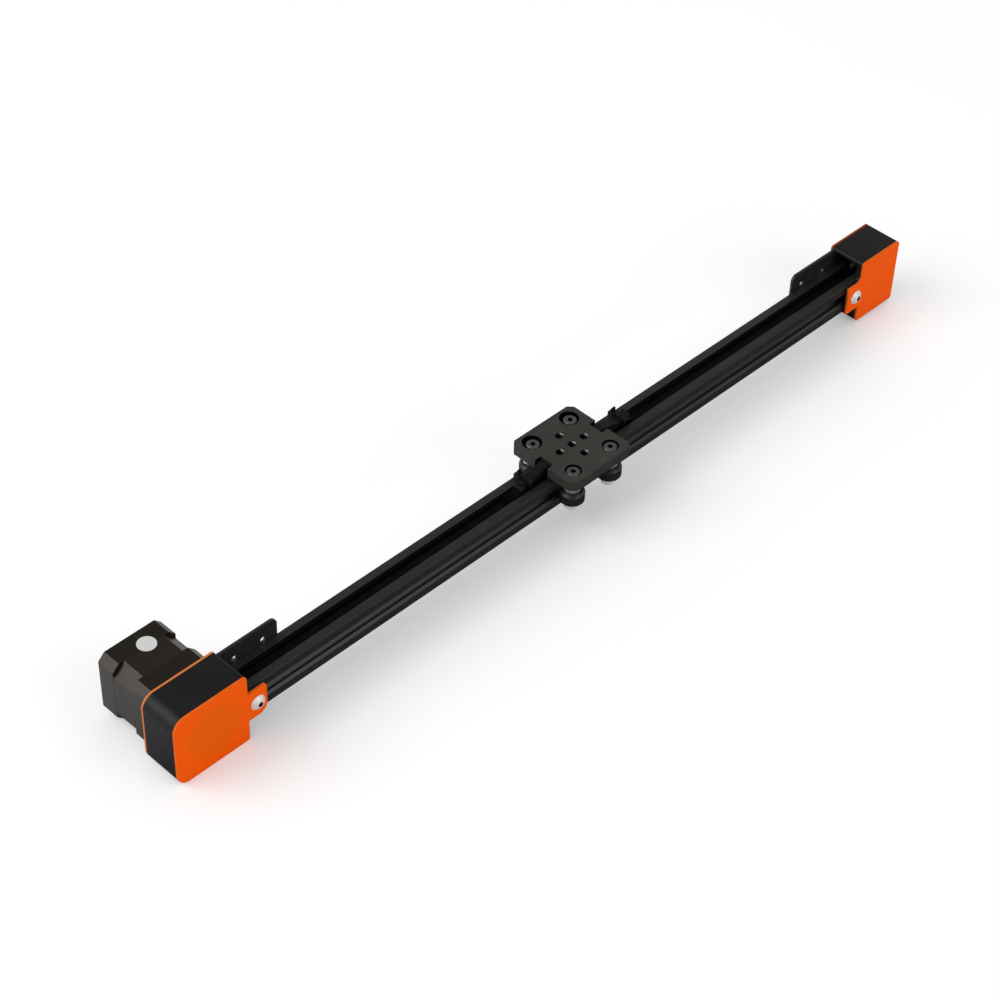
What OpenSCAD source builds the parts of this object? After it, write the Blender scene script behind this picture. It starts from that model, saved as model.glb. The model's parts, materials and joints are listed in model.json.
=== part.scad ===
// Belt driven linear axis: a wheeled carriage on a V-slot rail, pulled by a toothed belt
// between a stepper motor housing and an idler housing.
// Frame: +X runs along the rail from the motor end to the idler end, +Y points to the side
// that the motor is on, +Z is up. The origin is the middle of the carriage plate's top face,
// with the carriage in its rest position. All sizes are in millimetres.

/* [Rail] */
// Side of the square rail
rail_w = 20; // [19:0.5:24]
// Length of rail between the two housings
rail_exposed = 509; // [360:1:900]
// Length of rail held inside each housing
rail_seat = 8; // [5:0.5:8]
// Width of the V-shaped mouth of each slot
slot_mouth = 9.16; // [8.9:0.01:9.8]
// Thickness of the lips beside each slot
slot_lip = 1.8; // [1.6:0.1:2.2]
// Width of the T-shaped hollow of each slot
slot_hollow = 11; // [10:0.25:12]
// Depth of each slot below the rail's face
slot_depth = 6.1; // [5.7:0.1:6.3]
// Thickness of the diagonal webs
web_t = 1.5; // [1.2:0.1:2]
// Diameter of the bore in the rail's core
core_bore_d = 4.2; // [3:0.1:5]
// Radius of the rail's outer corners
rail_corner = 0.5; // [0.3:0.1:1.4]

/* [Belt and pulleys] */
// Width of the toothed belt
belt_w = 6; // [5:0.5:6.5]
// Distance from tooth to tooth
belt_pitch = 2; // [1.8:0.1:2.2]
// Height of the belt's teeth
belt_tooth_h = 0.75; // [0.5:0.05:0.9]
// Thickness of the belt's back
belt_back = 0.63; // [0.5:0.01:0.8]
// Number of teeth on each pulley
pulley_teeth = 20; // [18:1:21]
// Length of each belt run next to a pulley on which the teeth are drawn
toothed_l = 60; // [20:2:120]
// Radius of the pulley flanges
flange_r = 8; // [7.5:0.1:8.4]
// Length of the drive pulley's hub
pulley_hub_l = 6; // [5:0.25:6.5]

/* [Motor housing] */
// Length of the motor housing along the rail
motor_box_l = 49; // [47:0.5:60]
// Height of the motor housing
motor_box_h = 48; // [46:0.5:60]
// Radius of the large corner at the outer top
motor_corner_top = 8.5; // [4:0.5:12]
// Radius of the corner at the outer bottom
motor_corner_low = 8; // [2:0.5:12]
// Distance of the motor shaft from the housing's middle, towards the rail
motor_off = 1.1; // [0:0.1:1.5]
// Radius of the corners next to the rail
inner_corner = 2; // [1:0.5:3]
// Wall of both housings
wall_t = 3; // [2.5:0.1:3.5]

/* [Idler housing] */
// Length of the idler housing along the rail
idler_box_l = 36; // [34:0.5:50]
// Height of the idler housing
idler_box_h = 45.4; // [42:0.1:56]
// Height of the idler housing's middle above the rail's axis
idler_rise = 0.8; // [0:0.1:2]
// Distance from the idler housing's rail side to the idler axle
idler_axle_in = 19.7; // [18.8:0.1:20]
// Radius of the fillet above the idler cover's tab
tab_fillet = 3; // [1:0.5:4]

/* [Covers and brackets] */
// Thickness of the orange covers
cover_t = 1.5; // [1:0.1:3]
// Thickness of the black layer between the rail's side and a cover
layer_t = 1.75; // [1.2:0.05:3]
// Reach of the motor cover's tab along the rail
motor_tab_l = 13; // [12:0.5:20]
// Radius of the low corner of the motor cover's tab
motor_tab_r = 6; // [2:0.5:6]
// Reach of the idler cover's tab along the rail
idler_tab_l = 12; // [11:0.5:20]
// Distance of the motor tab's screw from the housing
motor_tab_screw = 6.4; // [5.5:0.1:7]
// Distance of the idler tab's screw from the housing
idler_tab_screw = 4; // [3.6:0.1:6]
// Length of each switch bracket
bracket_l = 41; // [38:0.5:60]
// Height of the switch bracket above the rail's top
bracket_rise = 12; // [9:0.5:20]
// Radius of the bracket's free top corner
bracket_corner = 4; // [1:0.5:8]
// Height of the switch holes above the rail's top
bracket_hole_up = 1.9; // [1.9:0.1:5]
// Distance between the two switch holes of a bracket
bracket_hole_gap = 20; // [12:0.5:22]
// Distance of the first switch hole from the housing
bracket_hole_in = 11; // [7:0.5:12]
// Diameter of the switch holes
bracket_hole_d = 3.8; // [2.5:0.1:5]
// Distance of the bracket's own screw from the housing
bracket_screw_in = 29; // [24:0.5:31]

/* [Motor] */
// Side of the square motor
motor_w = 42.3; // [40:0.1:43]
// Length of the motor behind its mounting face
motor_l = 40.6; // [36:0.1:60]
// Chamfer on the end caps' corners
cap_chamfer = 4.4; // [2:0.1:5.5]
// Chamfer on the stator's corners
stator_chamfer = 7.9; // [6:0.1:9]
// Length of the front cap
front_cap_l = 12.8; // [11:0.1:14]
// Length of the rear cap
rear_cap_l = 12.1; // [10:0.1:13]
// Distance between the mounting holes
motor_hole_gap = 31; // [30:0.1:31.5]
// Diameter of the motor shaft
shaft_d = 5; // [4:0.1:5.5]
// Diameter of the pilot boss on the mounting face
pilot_d = 22; // [18:0.5:23]

/* [Carriage] */
// Side of the square carriage plate
plate_w = 50.2; // [48:0.2:60]
// Thickness of the carriage plate
plate_t = 6.5; // [6:0.1:8]
// Gap between the rail's top and the plate
plate_gap = 2; // [1.5:0.1:4]
// Chamfer on the plate's corners
plate_chamfer = 3.2; // [2:0.1:6]
// Width of the belt notches
notch_w = 10; // [8.5:0.25:11]
// Depth of the belt notches
notch_d = 5; // [4.6:0.1:6]
// Diameter of the circle of mounting holes
hole_circle_d = 20; // [16:0.5:21]
// Diameter of the mounting holes
mount_hole_d = 5; // [4:0.1:5.5]
// Distance between the wheel screws along the rail
wheel_gap_x = 31; // [29:0.25:33]
// Distance from the rest position to the motor housing
rest_from_motor = 257.8; // [120:0.1:280]

/* [Wheels] */
// Diameter of a wheel
wheel_d = 15.2; // [14.5:0.1:16]
// Width of a wheel
wheel_w = 8.8; // [8.6:0.1:9.4]
// Width of the flat crown of a wheel
crown_w = 5.8; // [5:0.1:6]
// Outer diameter of a wheel bearing
bearing_d = 10; // [9:0.1:10.5]
// Width of a wheel bearing
bearing_w = 4; // [3.6:0.1:4.1]
// Diameter of the wheel screws' heads
wheel_head_d = 8; // [7.5:0.1:9.2]
// Diameter of the counterbores on the fixed side
cbore_fixed_d = 10; // [9.6:0.1:11]
// Diameter of the counterbores on the adjustable side
cbore_ecc_d = 12; // [11:0.1:12.5]
// Depth of the counterbores
cbore_depth = 2.6; // [2.2:0.1:3]
// Throw of the eccentric spacers
ecc_throw = 0.8; // [0.4:0.1:1]

/* [Belt ends] */
// Diameter of the pin that a belt end loops round
belt_pin_d = 2; // [1.5:0.1:2.4]
// Distance of the tie from the plate on the motor side
tie_out_motor = 12.5; // [4:0.5:16]
// Distance of the tie from the plate on the idler side
tie_out_idler = 16; // [4:0.5:18]
// Width of the cable ties
tie_w = 2.8; // [2:0.1:3.6]
// Thickness of the cable ties
tie_t = 1; // [0.8:0.05:1.3]

/* [Fasteners] */
// Diameter of the M5 screws
m5_d = 5; // [4.6:0.1:5.2]
// Diameter of the M5 button heads
m5_head_d = 9.5; // [9:0.1:9.7]
// Height of the M5 button heads
m5_head_h = 2.75; // [2:0.05:3.2]
// Length of the M5 screws in the tabs and brackets
m5_len = 8; // [7:0.25:8.5]
// Diameter of the M3 screws
m3_d = 3; // [2.5:0.1:3.2]

/* [Hidden] */
$fn = 64;

// Named clearances
seat_clear = 0.05;      // between pieces that are fixed together
run_clear = 0.04;       // radial clearance of a shaft in its bearing
side_clear = 0.06;      // end float of a turning piece between its washers
belt_clear = 0.1;       // belt to each side of the slot's throat
mesh_clear = 0.15;      // pulley to the belt's teeth
wheel_clear = 0.12;     // wheel to the walls of the V groove
hole_clear = 0.25;      // screw to the wall of its clearance hole
strand_clear = 0.1;     // between the two strands of a belt end
tie_clear = 0.15;       // cable tie to the belt inside it
lift = 0.3;             // moving piece above a fixed one
cut = 1;                // how far a cutting shape stands out of what it cuts

// Colours
black_alu = [0.06, 0.06, 0.06];
black_plastic = [0.04, 0.04, 0.04];
orange = [0.93, 0.36, 0.04];
steel = [0.75, 0.75, 0.76];
motor_black = [0.08, 0.07, 0.065];
belt_black = [0.03, 0.03, 0.03];
pale = [0.9, 0.9, 0.87];

// Rail section
rail_half = rail_w/2;
mouth_half = slot_mouth/2;
throat_half = belt_w/2 + belt_clear;
hollow_half = slot_hollow/2;
web_off = web_t/sqrt(2);
floor_z = rail_half - slot_depth;

// Places along the rail
axis_z = -(plate_t + plate_gap + rail_half);
motor_face = -rest_from_motor;
idler_face = motor_face + rail_exposed;
motor_x = motor_face - motor_box_l/2 + motor_off;
idler_x = idler_face + idler_axle_in;
rail_x0 = motor_face - rail_seat;
rail_l = rail_exposed + 2*rail_seat;

// Layers across the rail
body_half = rail_half + layer_t;
cover_y = body_half + cover_t;
seat_half = rail_half + seat_clear;
seat_wall = 2;
stop_t = 1.5;
stop_half = rail_half - 2;
peg_d = 3;
peg_l = 4;
boss_r = 3;
boss_sink = 0.5;
motor_peg_gap = 16;
idler_web = 3;

// Belt and pulleys
pitch_r = pulley_teeth*belt_pitch/(2*PI);
pitch_depth = 0.254;
belt_in = pitch_r - pitch_depth;
belt_out = belt_in + belt_back;
belt_t = belt_back + belt_tooth_h;
pulley_r = belt_in - mesh_clear;
groove_r = 0.28*belt_pitch;
tooth_root = 0.3;
tooth_tip = 0.18;
flange_t = 1;
channel_half = belt_w/2 + 0.5;
pulley_side = channel_half + flange_t;
tooth_from = flange_r + 2;
idler_bearing_d = 9;
idler_bearing_w = 3;
idler_lip = 0.7;
idler_ring_r = 3.4;
grub_socket = 1.5;
grub_sink = 0.5;
wrap_steps = 24;

// Motor
motor_y0 = cover_y;
motor_y1 = motor_y0 + motor_l;
pilot_h = 2;
rotor_r = 12.9;
rotor_room = rotor_r + 0.3;
motor_bearing_d = 11;
motor_bearing_w = 4;
bearing_lip = 1.5;
front_cap_wall = 5;
rear_cap_wall = 7;
rotor_gap = 1.5;
rotor_waist = 0.6;
shaft_y0 = -(body_half - 1);
shaft_y1 = motor_y1 - bearing_lip - 0.3;
m3_head_d = 5.5;
m3_head_h = 1.65;
case_head_y = motor_y1 - m3_head_h - 0.3;
case_screw_l = 7.5;
mount_screw_in = 4.5;
socket_w = 17;
socket_h = 6.5;
socket_in = 4;
socket_out = 1;
socket_y = 2;
socket_wall = 0.9;
socket_back = 1.5;
label_d = 11;
label_t = 0.12;
label_in = 10.9;
label_x = 2.9;
label_y = motor_y1 - label_in;
shaft_flat = 0.45;
shaft_flat_l = 15;

// Wheel stack, measured from the rail's axis
shim_t = 1;
shim_r = 3.6;
spacer_r = 5;
rib_t = 1;
rib_h = 0.75;
stack_half = rib_t/2 + bearing_w + side_clear;
plate_low = rail_half + plate_gap;
spacer_l = plate_low - stack_half - shim_t;
wheel_y = rail_half + wheel_d/2 - (slot_mouth - crown_w)/2 + wheel_clear*sqrt(2);
wheel_head_h = 2;
nut_h = 4;
nut_collar_h = 1;
nut_flats = 8;
nut_bevel = 0.7;
wheel_screw_l = plate_low + plate_t - cbore_depth + stack_half + nut_h + nut_collar_h + 0.3;
hub_r = m5_d/2 + run_clear;
ecc_hole_r = m5_d/2 + ecc_throw + 0.3;
ecc_boss_l = 2.5;
ecc_hex = 10;

// Belt ends, measured from the rail's axis
pin_r = belt_pin_d/2;
pin_x = plate_w/2 - notch_d + pin_r + belt_t + strand_clear;
pin_z = plate_low + plate_t/2;
pin_in_plate = 2.5;
pin_l = notch_w + 2*pin_in_plate;
pair_half = belt_t + strand_clear/2;
tie_head_l = 4.6;
tie_head_h = 3.4;
tie_tail_l = 2.5;
tie_round = 0.6;
tie_up = 0.8;
tie_z = rail_half + tie_up + tie_t + tie_clear + pair_half;
slot_run_z = belt_out + lift + belt_t/2;
ramp_l = 13;
start_l = 4;
tail_l = 4;
tail_rise = 1.4;

// Fasteners
m5_socket = 3;
m3_socket = 2;
button_socket_share = 0.6;
low_socket_share = 0.85;
nut_side_clear = 0.6;
nut_web_clear = 0.7;
nut_neck_h = 0.9;
thread_r = m5_d/2 + seat_clear;
nut_l = 10;

// ---- helpers ----

// moves a shape drawn round the rail's axis to its height
module at_axis() {
  translate([0, 0, axis_z]) children();
}

// raises an outline drawn in X and Z between two places along Y
module slab_y(y0, y1) {
  translate([0, y1, 0]) rotate([90, 0, 0]) linear_extrude(height = y1 - y0) children();
}

// raises an outline drawn in Y and Z from a place along X
module slab_x(x0, l) {
  translate([x0, 0, 0]) rotate([90, 0, 90]) linear_extrude(height = l) children();
}

// cylinder along Y between two places
module rod_y(r, y0, y1) {
  translate([0, y0, 0]) rotate([-90, 0, 0]) cylinder(r = r, h = y1 - y0);
}

// rectangle with a radius of its own at each corner, counted from the low left corner
// round to the left top one
module corner_box(x0, z0, x1, z1, r) {
  union() {
    polygon([[x0 + r[0], z0], [x1 - r[1], z0], [x1, z0 + r[1]], [x1, z1 - r[2]],
             [x1 - r[2], z1], [x0 + r[3], z1], [x0, z1 - r[3]], [x0, z0 + r[0]]]);
    translate([x0 + r[0], z0 + r[0]]) circle(r = r[0]);
    translate([x1 - r[1], z0 + r[1]]) circle(r = r[1]);
    translate([x1 - r[2], z1 - r[2]]) circle(r = r[2]);
    translate([x0 + r[3], z1 - r[3]]) circle(r = r[3]);
  }
}

// square with chamfered corners, centred
module chamfer_square(w, c) {
  h = w/2;
  polygon([[-h + c, -h], [h - c, -h], [h, -h + c], [h, h - c],
           [h - c, h], [-h + c, h], [-h, h - c], [-h, -h + c]]);
}

// ring along Z, standing on Z = 0
module ring(r, bore_r, h) {
  difference() {
    cylinder(r = r, h = h);
    translate([0, 0, -cut]) cylinder(r = bore_r, h = h + 2*cut);
  }
}

// hexagonal socket cut from Z = 0 downwards
module hex_cut(flats, depth) {
  translate([0, 0, -depth]) cylinder(r = flats/sqrt(3), h = depth + cut, $fn = 6);
}

// button-head screw: its head stands on Z = 0 and its shank points down
module button_screw(d, head_d, head_h, l, socket) {
  rim = 0.4;
  rise = head_h - rim;
  r = head_d/2;
  dome_r = (r*r + rise*rise)/(2*rise);
  edge_a = acos(r/dome_r);
  difference() {
    rotate_extrude() polygon(concat(
      [[0, -l], [d/2, -l], [d/2, 0], [r, 0]],
      arc([0, head_h - dome_r], dome_r, edge_a, 90, 8)));
    translate([0, 0, head_h]) hex_cut(socket, head_h*button_socket_share);
  }
}

// low socket-head screw: its head stands on Z = 0 and its shank points down
module low_screw(d, head_d, head_h, l, socket) {
  edge = 0.3;
  r = head_d/2;
  difference() {
    rotate_extrude() polygon([[0, -l], [d/2, -l], [d/2, 0], [r, 0],
                              [r, head_h - edge], [r - edge, head_h], [0, head_h]]);
    translate([0, 0, head_h]) hex_cut(socket, head_h*low_socket_share);
  }
}

// ball bearing as one ring with a shield groove on both faces, standing on Z = 0
module bearing(od, bore_r, w) {
  r = od/2;
  land = (r - bore_r)*0.28;
  groove = 0.25;
  rotate_extrude() polygon([
    [bore_r, 0], [bore_r + land, 0], [bore_r + land, groove], [r - land, groove],
    [r - land, 0], [r, 0], [r, w], [r - land, w], [r - land, w - groove],
    [bore_r + land, w - groove], [bore_r + land, w], [bore_r, w]]);
}

// points of an arc round a centre, from one angle to another
function arc(c, r, a0, a1, n, first = 0) =
  [for (i = [first:n]) let (a = a0 + (a1 - a0)*i/n) [c[0] + r*cos(a), c[1] + r*sin(a)]];

// points of a smooth step from one place to another, with the first where first is 0
function ease(p, q, n, first = 1) =
  [for (i = [first:n]) let (u = i/n) [p[0] + (q[0] - p[0])*u, p[1] + (q[1] - p[1])*(1 - cos(180*u))/2]];

// the point of a line shifted sideways by half a band's thickness
function shifted(path, i, d) =
  let (a = path[max(i - 1, 0)], b = path[min(i + 1, len(path) - 1)],
       l = norm(b - a))
  [path[i][0] - d*(b[1] - a[1])/l, path[i][1] + d*(b[0] - a[0])/l];

// outline of a band of a given thickness along a line of points
module band(path, t) {
  n = len(path);
  polygon(concat([for (i = [0:n - 1]) shifted(path, i, t/2)],
                 [for (i = [n - 1:-1:0]) shifted(path, i, -t/2)]));
}

// ---- rail ----

// one slot of the rail, opening upwards
module slot_outline() {
  polygon([
    [-mouth_half, rail_half + cut], [-mouth_half, rail_half],
    [-throat_half, rail_half - (mouth_half - throat_half)], [-throat_half, rail_half - slot_lip],
    [-hollow_half, rail_half - slot_lip], [-hollow_half, hollow_half + web_off],
    [-(floor_z - web_off), floor_z], [floor_z - web_off, floor_z],
    [hollow_half, hollow_half + web_off], [hollow_half, rail_half - slot_lip],
    [throat_half, rail_half - slot_lip], [throat_half, rail_half - (mouth_half - throat_half)],
    [mouth_half, rail_half], [mouth_half, rail_half + cut]]);
}

module rail() {
  color(black_alu) at_axis() slab_x(rail_x0, rail_l) difference() {
    corner_box(-rail_half, -rail_half, rail_half, rail_half,
               [rail_corner, rail_corner, rail_corner, rail_corner]);
    for (a = [0:90:270]) rotate(a) slot_outline();
    circle(r = core_bore_d/2);
  }
}

// ---- housings ----

// outline of the motor housing and its covers
module motor_outline() {
  corner_box(motor_face - motor_box_l, -motor_box_h/2, motor_face, motor_box_h/2,
             [motor_corner_low, inner_corner, inner_corner, motor_corner_top]);
}

// outline of the tab over the rail's side at the motor housing
module motor_tab() {
  corner_box(motor_face - inner_corner*2, -rail_half, motor_face + motor_tab_l, rail_half,
             [inner_corner/2, motor_tab_r, inner_corner, inner_corner/2]);
}

// outline of the idler housing and its covers
module idler_outline() {
  mid = idler_rise;
  corner_box(idler_face, mid - idler_box_h/2, idler_face + idler_box_l, mid + idler_box_h/2,
             [inner_corner, inner_corner, inner_corner, inner_corner]);
}

// outline of the tab over the rail's side at the idler housing, with its fillet
module idler_tab() {
  union() {
    corner_box(idler_face - idler_tab_l, -rail_half, idler_face + inner_corner*2, rail_half,
               [inner_corner/2, inner_corner/2, inner_corner/2, inner_corner/2]);
    difference() {
      translate([idler_face - tab_fillet, rail_half - cut])
        square([tab_fillet + cut, tab_fillet + cut]);
      translate([idler_face - tab_fillet, rail_half + tab_fillet]) circle(r = tab_fillet);
    }
  }
}

// places of the two pegs of the motor covers, between the motor's screws
motor_pegs = [for (s = [-1, 1])
  [motor_face - motor_box_l + wall_t + boss_r - boss_sink, s*motor_peg_gap/2]];

// places of the two pegs of the idler covers
idler_pegs = [for (s = [-1, 1])
  [idler_face + idler_box_l - wall_t - boss_r + boss_sink,
   idler_rise + s*(idler_box_h/2 - wall_t - boss_r + boss_sink)]];

// seat that holds one end of the rail, with a stop for the rail's end
module rail_socket(face, side) {
  x0 = side > 0 ? face : face - rail_seat - stop_t;
  translate([x0, -(seat_half + seat_wall)])
    square([rail_seat + stop_t, 2*(seat_half + seat_wall)]);
}

// hole for the rail, the smaller opening that the belt runs through, and the window above
// the rail that is open into the pulley's room
module rail_pocket(face, side, top_z) {
  near = side > 0 ? face - cut : face - rail_seat - seat_clear;
  translate([near, -seat_half, -seat_half])
    cube([rail_seat + seat_clear + cut, 2*seat_half, 2*seat_half]);
  deep = side > 0 ? face : face - rail_seat - stop_t - cut;
  translate([deep, -stop_half, -stop_half])
    cube([rail_seat + stop_t + cut, 2*stop_half, stop_half + top_z]);
  translate([face - wall_t - cut, -stop_half, 0])
    cube([2*wall_t + 2*cut, 2*stop_half, top_z]);
}

module peg_holes(places) {
  for (p = places)
    translate([p[0], 0, p[1]]) for (s = [-1, 1])
      rod_y(peg_d/2 + seat_clear, s > 0 ? body_half - peg_l - cut : -body_half - cut,
            s > 0 ? body_half + cut : -body_half + peg_l + cut);
}

module motor_housing() {
  x0 = motor_face - motor_box_l;
  h = motor_box_h/2 - wall_t;
  inner_r = max(motor_corner_top - wall_t, 1);
  low_r = max(motor_corner_low - wall_t, 1);
  color(black_plastic) at_axis() difference() {
    union() {
      slab_y(-body_half, body_half) motor_outline();
      slab_y(-body_half, -seat_half) motor_tab();
    }
    difference() {
      slab_y(-body_half - cut, body_half + cut) difference() {
        corner_box(x0 + wall_t, -h, motor_face - wall_t, h, [low_r, 1, 1, inner_r]);
        rail_socket(motor_face, -1);
      }
      for (p = motor_pegs) translate([p[0], 0, p[1]]) rod_y(boss_r, -body_half, body_half);
    }
    rail_pocket(motor_face, -1, h);
    peg_holes(motor_pegs);
    translate([motor_face + motor_tab_screw, 0, 0])
      rod_y(m5_d/2 + hole_clear, -body_half - cut, -rail_half);
  }
}

module idler_housing() {
  h = idler_box_h/2 - wall_t;
  x1 = idler_face + idler_box_l - wall_t;
  color(black_plastic) at_axis() difference() {
    union() {
      slab_y(-body_half, body_half) idler_outline();
      slab_y(-body_half, -seat_half) idler_tab();
    }
    difference() {
      slab_y(-body_half + idler_web, body_half - idler_web) difference() {
        corner_box(idler_face + wall_t, idler_rise - h, x1, idler_rise + h, [1, 1, 1, 1]);
        rail_socket(idler_face, 1);
      }
      for (p = idler_pegs) translate([p[0], 0, p[1]]) rod_y(boss_r, -body_half, body_half);
      translate([idler_x, 0, 0]) rod_y(boss_r + 1, -body_half, -pulley_side - shim_t);
    }
    rail_pocket(idler_face, 1, idler_rise + h);
    peg_holes(idler_pegs);
    translate([idler_x, 0, 0]) rod_y(thread_r, -body_half - cut, body_half + cut);
    translate([idler_face - idler_tab_screw, 0, 0])
      rod_y(m5_d/2 + hole_clear, -body_half - cut, -rail_half);
  }
}

// flat cover with its two pegs, on the near side of a housing or on the far one
module cover(side, pegs, screw_x) {
  y0 = side > 0 ? body_half : -cover_y;
  color(orange) at_axis() {
    difference() {
      slab_y(y0, y0 + cover_t) children(0);
      translate([screw_x, 0, 0])
        rod_y(m5_d/2 + hole_clear, y0 - cut, y0 + cover_t + cut);
      if ($children > 1) children(1);
    }
    for (p = pegs)
      translate([p[0], 0, p[1]])
        rod_y(peg_d/2, side > 0 ? body_half - peg_l : -body_half,
              side > 0 ? body_half : -body_half + peg_l);
  }
}

module motor_cover_front() {
  cover(-1, motor_pegs, motor_face + motor_tab_screw) {
    union() {
      motor_outline();
      motor_tab();
    }
  }
}

module motor_plate_rear() {
  cover(1, motor_pegs, motor_face + motor_tab_screw) {
    union() {
      motor_outline();
      motor_tab();
    }
    translate([motor_x, 0, 0]) {
      rod_y(pilot_d/2 + seat_clear, body_half - cut, cover_y + cut);
      motor_holes() rod_y(m3_d/2 + hole_clear, body_half - cut, cover_y + cut);
    }
  }
}

module idler_cover_front() {
  cover(-1, idler_pegs, idler_face - idler_tab_screw) {
    union() {
      idler_outline();
      idler_tab();
    }
  }
}

module idler_plate_rear() {
  cover(1, idler_pegs, idler_face - idler_tab_screw) {
    union() {
      idler_outline();
      idler_tab();
    }
    translate([idler_x, 0, 0]) rod_y(m5_d/2 + hole_clear, body_half - cut, cover_y + cut);
  }
}

// ---- switch brackets ----

// bracket that lies on the rail's far side, with its housing end at X = 0 and its free end
// towards +X
module bracket_plate() {
  difference() {
    slab_y(rail_half, body_half)
      corner_box(0, -rail_half, bracket_l, rail_half + bracket_rise,
                 [inner_corner/4, inner_corner, bracket_corner, inner_corner/4]);
    for (x = [bracket_hole_in, bracket_hole_in + bracket_hole_gap])
      translate([x, 0, rail_half + bracket_hole_up])
        rod_y(bracket_hole_d/2, rail_half - cut, body_half + cut);
    translate([bracket_screw_in, 0, 0])
      rod_y(m5_d/2 + hole_clear, rail_half - cut, body_half + cut);
    children();
  }
}

module tab_hole_far(x) {
  translate([x, 0, 0]) rod_y(m5_d/2 + hole_clear, rail_half - cut, body_half + cut);
}

module switch_bracket_motor() {
  color(black_alu) at_axis() translate([motor_face, 0, 0])
    bracket_plate() tab_hole_far(motor_tab_screw);
}

module switch_bracket_idler() {
  color(black_alu) at_axis() translate([idler_face, 0, 0]) mirror([1, 0, 0])
    bracket_plate() tab_hole_far(idler_tab_screw);
}

// ---- fasteners of the frame ----

tab_screw_x = [motor_face + motor_tab_screw, idler_face - idler_tab_screw];
bracket_screw_x = [motor_face + bracket_screw_in, idler_face - bracket_screw_in];

// turns a screw that points down so that it points into the rail from a side
module from_side(side) {
  rotate([side > 0 ? -90 : 90, 0, 0]) children();
}

module tab_screws() {
  color(steel) at_axis()
    for (x = tab_screw_x, s = [-1, 1])
      translate([x, s*cover_y, 0]) from_side(s)
        button_screw(m5_d, m5_head_d, m5_head_h, m5_len, m5_socket);
}

module bracket_screws() {
  color(steel) at_axis()
    for (x = bracket_screw_x)
      translate([x, body_half, 0]) from_side(1)
        button_screw(m5_d, m5_head_d, m5_head_h, m5_len - cover_t, m5_socket);
}

// T-nut section in a slot that opens upwards
module tee_nut_outline() {
  half = hollow_half - nut_side_clear;
  neck = throat_half - nut_side_clear/3;
  top = rail_half - slot_lip - seat_clear;
  low = floor_z + nut_web_clear;
  foot = low - web_off - nut_web_clear;
  hip = half + web_off + nut_web_clear;
  polygon([[-neck, top + nut_neck_h], [-neck, top], [-half, top], [-half, hip],
           [-foot, low], [foot, low],
           [half, hip], [half, top], [neck, top], [neck, top + nut_neck_h]]);
}

module tee_nut(side) {
  rotate([side > 0 ? -90 : 90, 0, 0]) difference() {
    translate([-nut_l/2, 0, 0]) rotate([90, 0, 90])
      linear_extrude(height = nut_l) tee_nut_outline();
    cylinder(r = thread_r, h = rail_half);
  }
}

module tee_nuts() {
  color(steel) at_axis() {
    for (x = tab_screw_x, s = [-1, 1]) translate([x, 0, 0]) tee_nut(s);
    for (x = bracket_screw_x) translate([x, 0, 0]) tee_nut(1);
  }
}

// ---- motor ----

module motor_holes() {
  for (sx = [-1, 1], sz = [-1, 1])
    translate([sx*motor_hole_gap/2, 0, sz*motor_hole_gap/2]) children();
}

module at_motor() {
  translate([motor_x, 0, axis_z]) children();
}

module motor_front_cap() {
  y1 = motor_y0 + front_cap_l;
  color(motor_black) at_motor() difference() {
    union() {
      slab_y(motor_y0, y1) chamfer_square(motor_w, cap_chamfer);
      rod_y(pilot_d/2, motor_y0 - pilot_h, motor_y0 + cut);
    }
    rod_y(shaft_d/2 + 1, motor_y0 - pilot_h - cut, y1);
    rod_y(motor_bearing_d/2 + seat_clear, motor_y0 - pilot_h + bearing_lip,
          motor_y0 - pilot_h + bearing_lip + motor_bearing_w + seat_clear);
    rod_y(rotor_room, motor_y0 + front_cap_wall, y1 + cut);
    motor_holes() rod_y(m3_d/2 + seat_clear, motor_y0 - cut, y1 + cut);
  }
}

module motor_stator() {
  color(motor_black) at_motor() difference() {
    slab_y(motor_y0 + front_cap_l, motor_y1 - rear_cap_l)
      chamfer_square(motor_w, stator_chamfer);
    rod_y(rotor_room, motor_y0, motor_y1);
  }
}

module motor_rear_cap() {
  y0 = motor_y1 - rear_cap_l;
  color(motor_black) at_motor() difference() {
    slab_y(y0, motor_y1) chamfer_square(motor_w, cap_chamfer);
    rod_y(rotor_room, y0 - cut, motor_y1 - rear_cap_wall);
    rod_y(motor_bearing_d/2 + seat_clear, y0, motor_y1 - bearing_lip);
    motor_holes() {
      rod_y(m3_d/2 + seat_clear, y0 - cut, motor_y1);
      rod_y(m3_head_d/2 + hole_clear, case_head_y, motor_y1 + cut);
    }
    translate([motor_w/2 - socket_in, y0 + socket_y, -socket_w/2])
      cube([socket_in + cut, socket_h, socket_w]);
  }
}

module motor_case_screws() {
  color(steel) at_motor() motor_holes()
    translate([0, case_head_y, 0]) from_side(1)
      button_screw(m3_d, m3_head_d, m3_head_h, case_screw_l, m3_socket);
}

module motor_mount_screws() {
  color(steel) at_motor() motor_holes()
    translate([0, body_half, 0]) from_side(-1)
      button_screw(m3_d, m3_head_d, m3_head_h, cover_t + mount_screw_in, m3_socket);
}

module motor_bearings() {
  front = motor_y0 - pilot_h + bearing_lip;
  rear = motor_y1 - bearing_lip - motor_bearing_w;
  color(steel) at_motor()
    for (y = [front, rear])
      translate([0, y, 0]) rotate([-90, 0, 0])
        bearing(motor_bearing_d, shaft_d/2 + run_clear, motor_bearing_w);
}

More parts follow.
